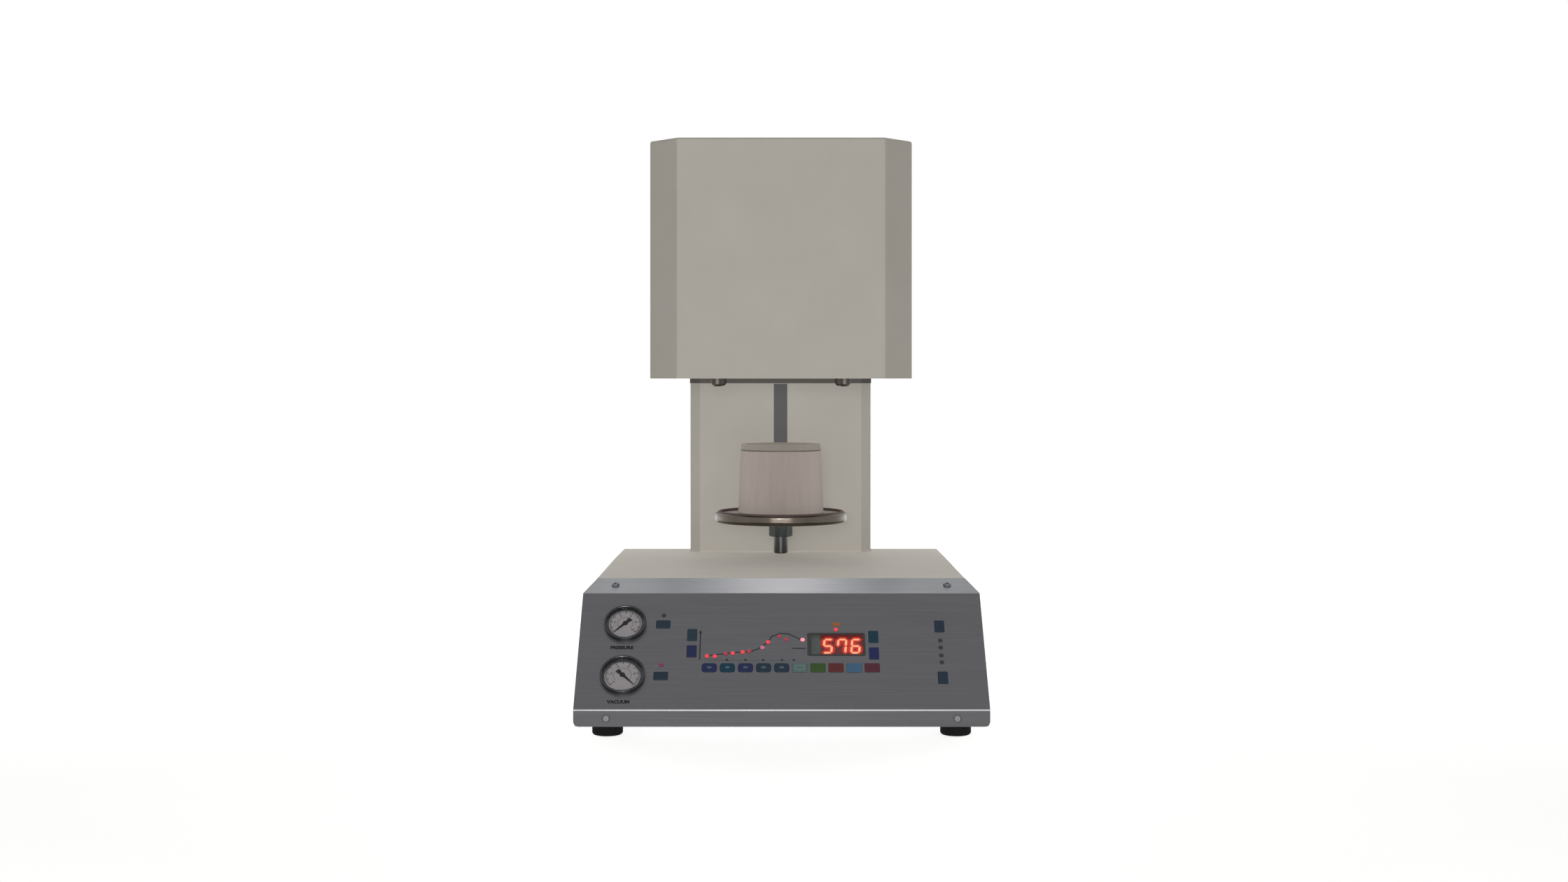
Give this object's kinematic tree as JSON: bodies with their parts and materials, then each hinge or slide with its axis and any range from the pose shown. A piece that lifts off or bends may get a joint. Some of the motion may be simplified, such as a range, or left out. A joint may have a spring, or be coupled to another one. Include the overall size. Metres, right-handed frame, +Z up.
{
  "type": "vacuum press furnace",
  "caption": "Bench-top vacuum press furnace: wedge base with sloping control panel, slotted column, overhanging heating head and a lift platform with a refractory block.",
  "frame": {"origin": "under the middle of the whole object, on the surface it stands on", "axes": "+Z up; the control panel faces -Y; +X is to the right seen from the front"},
  "size_m": [0.3826, 0.4794, 0.572],
  "materials": {
    "brushed_panel": "fine brushed",
    "powder_coat": "beige-grey powder coat",
    "zinc_sheet": "zinc-plated sheet",
    "black_rubber": "matt",
    "screw_steel": "bright zinc",
    "dark_plate": "dark heat-resistant paint",
    "machined_steel": "turned",
    "black_steel": "black oxide",
    "quartz": "frosted fused quartz",
    "ceramic_fibre": "chalky fibre board",
    "heater_wire": "oxidised",
    "aluminium": "turned",
    "polished_steel": "polished",
    "silicone": "matt silicone",
    "refractory": "pressed fibre, chalky",
    "tray_ceramic": "unglazed ceramic",
    "bright_steel": "bright turned steel",
    "lift_steel": "grey painted",
    "bronze": "sintered bronze",
    "black_housing": "black",
    "gauge_black": "black lacquer, satin",
    "dial_white": "printed card white",
    "gauge_glass": "clear",
    "pointer_black": "black lacquer",
    "circuit_board": "solder mask",
    "red_filter": "dark red filter",
    "lamp_red": "diffused lens",
    "core_steel": "laminated core",
    "black_moulding": "moulded",
    "rocker_plastic": "moulded",
    "nickel_brass": "nickel plated",
    "valve_body": "moulded",
    "key_dark": "satin",
    "key_royal": "satin",
    "key_grey": "satin",
    "key_green": "satin",
    "key_red": "satin",
    "key_blue": "satin",
    "key_maroon": "satin"
  },
  "bodies": {
    "root": {"front_panel": "brushed_panel", "base_cover": "powder_coat", "base_pan": "zinc_sheet", "rubber_feet": "black_rubber", "housing_screws": "screw_steel", "column_shell": "powder_coat", "head_cover": "powder_coat", "head_plate": "dark_plate", "rear_cover": "powder_coat", "seal_flange": "machined_steel", "flange_bolts": "black_steel", "muffle_tube": "quartz", "insulation": "ceramic_fibre", "heating_coil": "heater_wire", "chamber_can": "aluminium", "thermocouple": "machined_steel", "press_cylinder": "aluminium", "guide_rods": "machined_steel", "lift_motor": "black_housing", "gauge_cases": "gauge_black", "gauge_dials": "dial_white", "gauge_lenses": "gauge_glass", "control_board": "circuit_board", "display_window": "red_filter", "indicator_lamps": "lamp_red", "power_supply": "core_steel", "power_inlet": "black_moulding", "hose_fittings": "nickel_brass", "solenoid_valves": "valve_body"},
    "lift": {"platform_disc": "polished_steel", "platform_seal": "silicone", "refractory_block": "refractory", "firing_tray": "tray_ceramic", "platform_nut": "bright_steel", "platform_shaft": "bright_steel", "lift_carriage": "lift_steel", "lift_bushes": "bronze"},
    "lead_screw": {"lead_screw": "machined_steel"},
    "press_plunger": {"press_plunger": "machined_steel"},
    "pressure_pointer": {"pressure_pointer": "pointer_black"},
    "vacuum_pointer": {"vacuum_pointer": "pointer_black"},
    "power_rocker": {"power_rocker": "rocker_plastic"},
    "key_pressure": {"key_pressure": "key_dark"},
    "key_vacuum": {"key_vacuum": "key_dark"},
    "key_left_up": {"key_left_up": "key_dark"},
    "key_left_down": {"key_left_down": "key_dark"},
    "key_right_up": {"key_right_up": "key_dark"},
    "key_right_down": {"key_right_down": "key_royal"},
    "key_lift_up": {"key_lift_up": "key_dark"},
    "key_lift_down": {"key_lift_down": "key_dark"},
    "key_program_1": {"key_program_1": "key_dark"},
    "key_program_2": {"key_program_2": "key_dark"},
    "key_program_3": {"key_program_3": "key_dark"},
    "key_program_4": {"key_program_4": "key_dark"},
    "key_program_5": {"key_program_5": "key_dark"},
    "key_time": {"key_time": "key_grey"},
    "key_start": {"key_start": "key_green"},
    "key_stop": {"key_stop": "key_red"},
    "key_cool": {"key_cool": "key_blue"},
    "key_end": {"key_end": "key_maroon"}
  },
  "joints": [
    {"name": "lift_slide", "type": "slide", "parent": "root", "child": "lift", "axis": [0, 0, 1], "range_m": [0, 0.1405]},
    {"name": "lead_screw_turn", "type": "hinge", "parent": "root", "child": "lead_screw", "pos_m": [0, 0.1995, 0.14], "axis": [0, 0, 1], "range_deg": [-6325, 0]},
    {"name": "plunger_slide", "type": "slide", "parent": "root", "child": "press_plunger", "axis": [0, 0, -1], "range_m": [0, 0.03]},
    {"name": "pressure_needle", "type": "hinge", "parent": "root", "child": "pressure_pointer", "pos_m": [-0.1475, -0.17033, 0.09793], "axis": [0, -0.7071, 0.7071], "range_deg": [-270, 0], "stiffness_Nm_per_rad": 0.0002, "springref_deg": 17.19},
    {"name": "vacuum_needle", "type": "hinge", "parent": "root", "child": "vacuum_pointer", "pos_m": [-0.147, -0.21276, 0.0555], "axis": [0, -0.7071, 0.7071], "range_deg": [0, 270], "stiffness_Nm_per_rad": 0.0002, "springref_deg": -17.19},
    {"name": "rocker_tilt", "type": "hinge", "parent": "root", "child": "power_rocker", "pos_m": [-0.08, 0.2186, 0.05], "axis": [1, 0, 0], "range_deg": [-18, 0]},
    {"name": "press_pressure", "type": "slide", "parent": "root", "child": "key_pressure", "axis": [0, 0.7071, -0.7071], "range_m": [0, 0.0005], "stiffness_N_per_m": 300, "springref_m": -0.0005},
    {"name": "press_vacuum", "type": "slide", "parent": "root", "child": "key_vacuum", "axis": [0, 0.7071, -0.7071], "range_m": [0, 0.0005], "stiffness_N_per_m": 300, "springref_m": -0.0005},
    {"name": "press_left_up", "type": "slide", "parent": "root", "child": "key_left_up", "axis": [0, 0.7071, -0.7071], "range_m": [0, 0.0005], "stiffness_N_per_m": 300, "springref_m": -0.0005},
    {"name": "press_left_down", "type": "slide", "parent": "root", "child": "key_left_down", "axis": [0, 0.7071, -0.7071], "range_m": [0, 0.0005], "stiffness_N_per_m": 300, "springref_m": -0.0005},
    {"name": "press_right_up", "type": "slide", "parent": "root", "child": "key_right_up", "axis": [0, 0.7071, -0.7071], "range_m": [0, 0.0005], "stiffness_N_per_m": 300, "springref_m": -0.0005},
    {"name": "press_right_down", "type": "slide", "parent": "root", "child": "key_right_down", "axis": [0, 0.7071, -0.7071], "range_m": [0, 0.0005], "stiffness_N_per_m": 300, "springref_m": -0.0005},
    {"name": "press_lift_up", "type": "slide", "parent": "root", "child": "key_lift_up", "axis": [0, 0.7071, -0.7071], "range_m": [0, 0.0005], "stiffness_N_per_m": 300, "springref_m": -0.0005},
    {"name": "press_lift_down", "type": "slide", "parent": "root", "child": "key_lift_down", "axis": [0, 0.7071, -0.7071], "range_m": [0, 0.0005], "stiffness_N_per_m": 300, "springref_m": -0.0005},
    {"name": "press_program_1", "type": "slide", "parent": "root", "child": "key_program_1", "axis": [0, 0.7071, -0.7071], "range_m": [0, 0.0005], "stiffness_N_per_m": 300, "springref_m": -0.0005},
    {"name": "press_program_2", "type": "slide", "parent": "root", "child": "key_program_2", "axis": [0, 0.7071, -0.7071], "range_m": [0, 0.0005], "stiffness_N_per_m": 300, "springref_m": -0.0005},
    {"name": "press_program_3", "type": "slide", "parent": "root", "child": "key_program_3", "axis": [0, 0.7071, -0.7071], "range_m": [0, 0.0005], "stiffness_N_per_m": 300, "springref_m": -0.0005},
    {"name": "press_program_4", "type": "slide", "parent": "root", "child": "key_program_4", "axis": [0, 0.7071, -0.7071], "range_m": [0, 0.0005], "stiffness_N_per_m": 300, "springref_m": -0.0005},
    {"name": "press_program_5", "type": "slide", "parent": "root", "child": "key_program_5", "axis": [0, 0.7071, -0.7071], "range_m": [0, 0.0005], "stiffness_N_per_m": 300, "springref_m": -0.0005},
    {"name": "press_time", "type": "slide", "parent": "root", "child": "key_time", "axis": [0, 0.7071, -0.7071], "range_m": [0, 0.0005], "stiffness_N_per_m": 300, "springref_m": -0.0005},
    {"name": "press_start", "type": "slide", "parent": "root", "child": "key_start", "axis": [0, 0.7071, -0.7071], "range_m": [0, 0.0005], "stiffness_N_per_m": 300, "springref_m": -0.0005},
    {"name": "press_stop", "type": "slide", "parent": "root", "child": "key_stop", "axis": [0, 0.7071, -0.7071], "range_m": [0, 0.0005], "stiffness_N_per_m": 300, "springref_m": -0.0005},
    {"name": "press_cool", "type": "slide", "parent": "root", "child": "key_cool", "axis": [0, 0.7071, -0.7071], "range_m": [0, 0.0005], "stiffness_N_per_m": 300, "springref_m": -0.0005},
    {"name": "press_end", "type": "slide", "parent": "root", "child": "key_end", "axis": [0, 0.7071, -0.7071], "range_m": [0, 0.0005], "stiffness_N_per_m": 300, "springref_m": -0.0005}
  ],
  "couplings": [
    {"joint": "lead_screw_turn", "follows": "lift_slide", "rad_per_m": -785.4}
  ]
}
